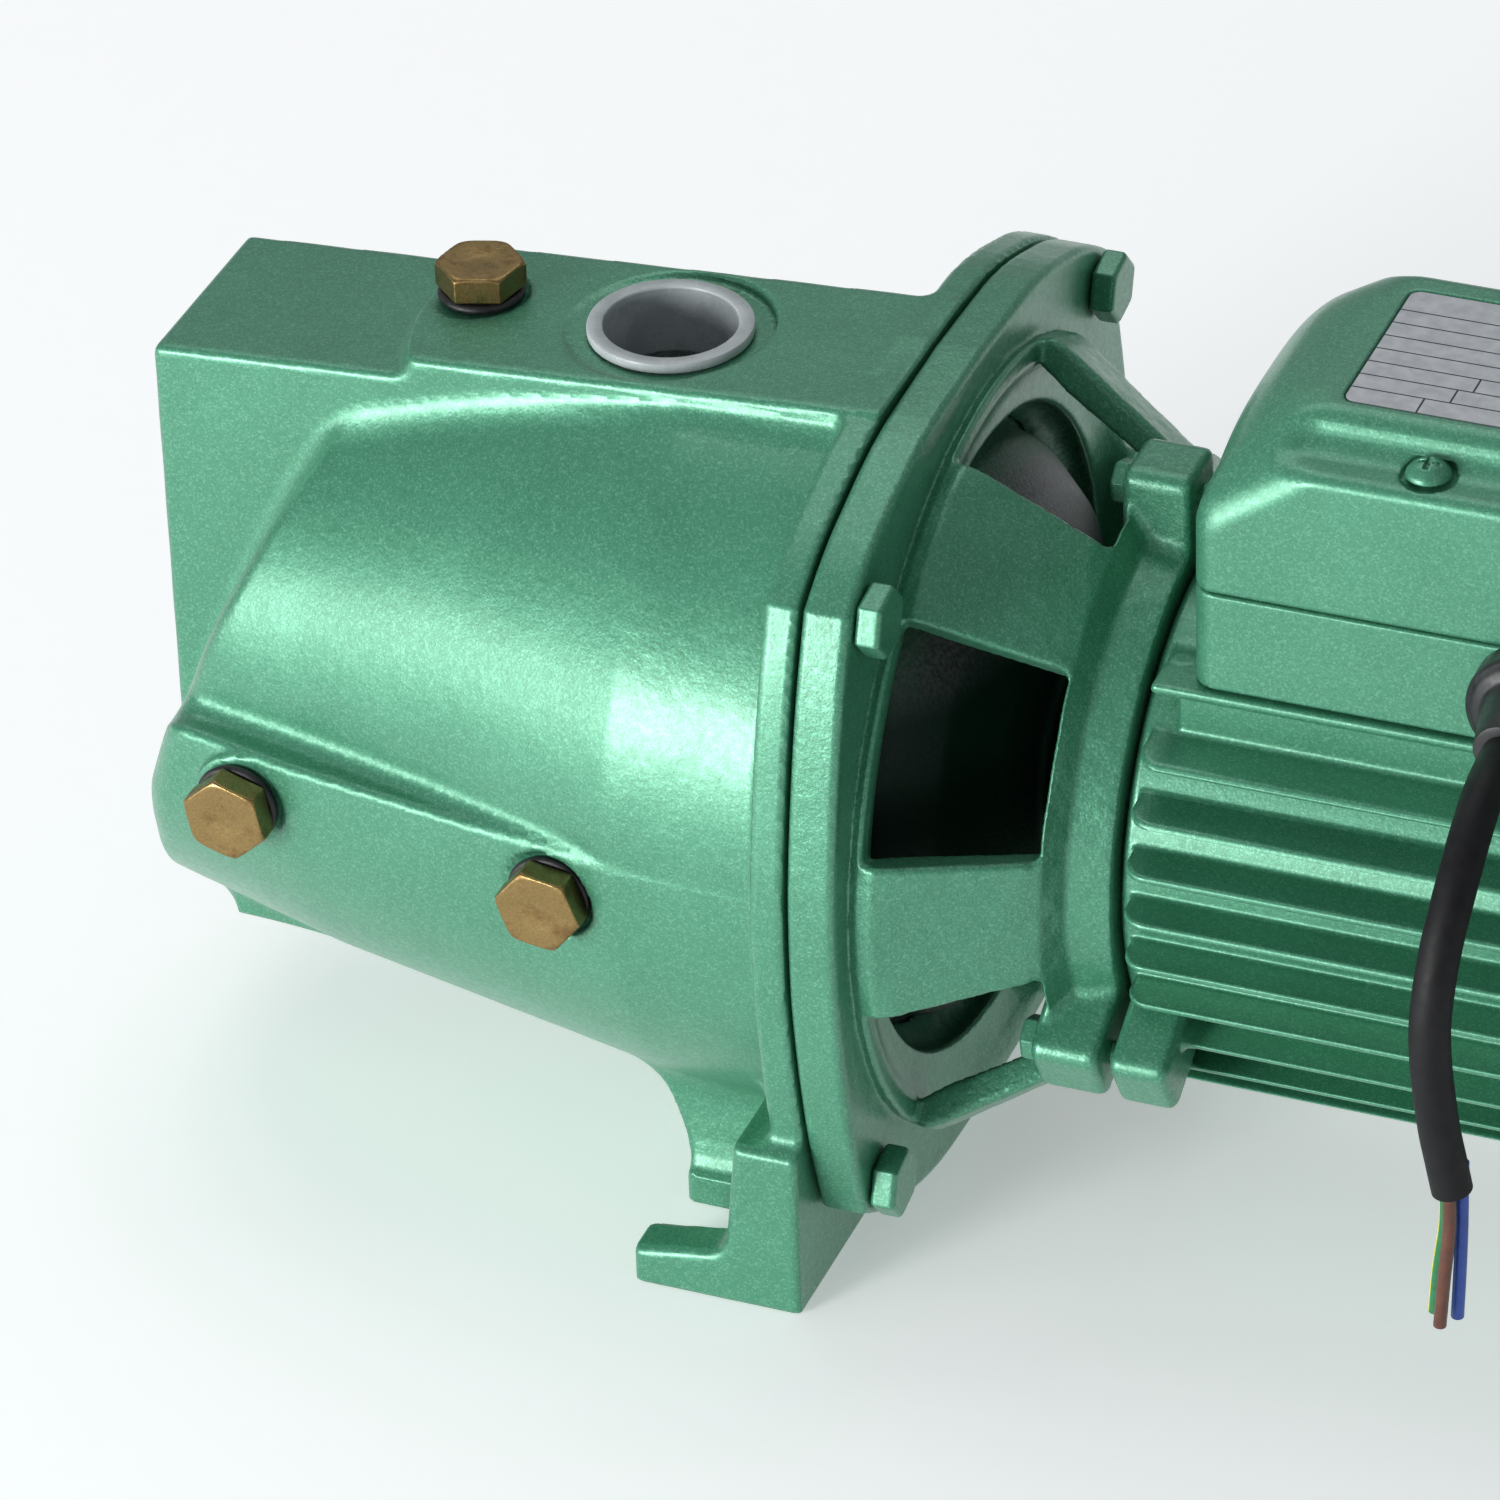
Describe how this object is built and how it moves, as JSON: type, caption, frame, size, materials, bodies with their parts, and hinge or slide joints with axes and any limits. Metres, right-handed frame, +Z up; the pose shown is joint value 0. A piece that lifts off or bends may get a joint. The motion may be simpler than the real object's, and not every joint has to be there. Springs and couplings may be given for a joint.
{
  "type": "shallow well jet pump",
  "caption": "Cast jet pump with an ejector body, a windowed lantern bracket, a finned motor with a terminal box, and a short mains lead.",
  "frame": {"origin": "on the ground under the middle of the pump's length, in the upright plane of the shaft", "axes": "+X along the shaft towards the fan cover, +Z up, -Y towards the side with the drain plugs and the cable gland"},
  "size_m": [0.393, 0.1933, 0.1954],
  "materials": {
    "painted_cast_iron": "satin metallic green paint over a cast skin",
    "painted_aluminium": "satin metallic green paint over a cast skin",
    "painted_steel": "satin metallic green paint",
    "cap_plastic": "translucent white moulding",
    "bronze": "satin tarnished",
    "brass": "satin",
    "black_rubber": "matte",
    "moulded_plastic": "matte",
    "bare_steel": "satin turned",
    "zinc_steel": "satin zinc plated",
    "blasted_steel": "matte cast skin",
    "seal_ceramic": "polished",
    "laminated_steel": "satin",
    "copper_winding": "gloss enamel",
    "bearing_steel": "polished",
    "black_plastic": "matte",
    "plate_aluminium": "satin",
    "lead_jacket": "matte",
    "core_green_yellow": "satin",
    "core_blue": "satin",
    "core_brown": "satin"
  },
  "bodies": {
    "stationary": {"pump_body": "painted_cast_iron", "bracket": "painted_cast_iron", "motor_frame": "painted_aluminium", "rear_shield": "painted_aluminium", "terminal_base": "painted_aluminium", "terminal_cover": "painted_aluminium", "flange_bolt_1": "painted_steel", "flange_bolt_2": "painted_steel", "flange_bolt_3": "painted_steel", "flange_bolt_4": "painted_steel", "cover_screw_1": "painted_steel", "cover_screw_2": "painted_steel", "ejector_nozzle": "brass", "body_gasket": "black_rubber", "venturi_tube": "moulded_plastic", "diffuser": "moulded_plastic", "seal_plate": "blasted_steel", "seal_seat": "seal_ceramic", "stator_core": "laminated_steel", "winding_front": "copper_winding", "winding_rear": "copper_winding", "front_bearing_outer": "bearing_steel", "rear_bearing_outer": "bearing_steel", "fan_cover": "black_plastic", "terminal_block": "black_plastic", "capacitor": "black_plastic", "cable_gland": "black_plastic", "nameplate": "plate_aluminium", "lead": "lead_jacket", "core_earth": "core_green_yellow", "core_neutral": "core_blue", "core_live": "core_brown", "ring_screw_1": "zinc_steel", "shield_screw_1": "zinc_steel", "ring_screw_2": "zinc_steel", "shield_screw_2": "zinc_steel", "ring_screw_3": "zinc_steel", "shield_screw_3": "zinc_steel"},
    "shaft_line": {"shaft": "bare_steel", "rotor_core": "laminated_steel", "impeller": "brass", "impeller_nut": "bare_steel", "impeller_key": "bare_steel", "seal_head": "black_rubber", "seal_spring": "bare_steel", "slinger": "black_rubber", "front_bearing_inner": "bearing_steel", "rear_bearing_inner": "bearing_steel", "fan": "black_plastic"},
    "discharge_cap": {"discharge_cap": "cap_plastic"},
    "suction_cap": {"suction_cap": "cap_plastic"},
    "priming_plug": {"priming_plug": "bronze", "priming_seal": "black_rubber"},
    "side_plug_1": {"side_plug_1": "bronze", "side_seal_1": "black_rubber"},
    "side_plug_2": {"side_plug_2": "bronze", "side_seal_2": "black_rubber"}
  },
  "joints": [
    {"name": "shaft_spin", "type": "hinge", "parent": "stationary", "child": "shaft_line", "pos_m": [0, 0, 0.0904], "axis": [1, 0, 0], "continuous": true},
    {"name": "discharge_cap_out", "type": "slide", "parent": "stationary", "child": "discharge_cap", "axis": [0, 0, 1], "range_m": [0, 0.025]},
    {"name": "suction_cap_out", "type": "slide", "parent": "stationary", "child": "suction_cap", "axis": [-1, 0, 0], "range_m": [0, 0.025]},
    {"name": "priming_plug_out", "type": "slide", "parent": "stationary", "child": "priming_plug", "axis": [0, 0, 1], "range_m": [0, 0.018]},
    {"name": "side_plug_1_out", "type": "slide", "parent": "stationary", "child": "side_plug_1", "axis": [0, -1, 0], "range_m": [0, 0.018]},
    {"name": "side_plug_2_out", "type": "slide", "parent": "stationary", "child": "side_plug_2", "axis": [0, -1, 0], "range_m": [0, 0.018]}
  ]
}
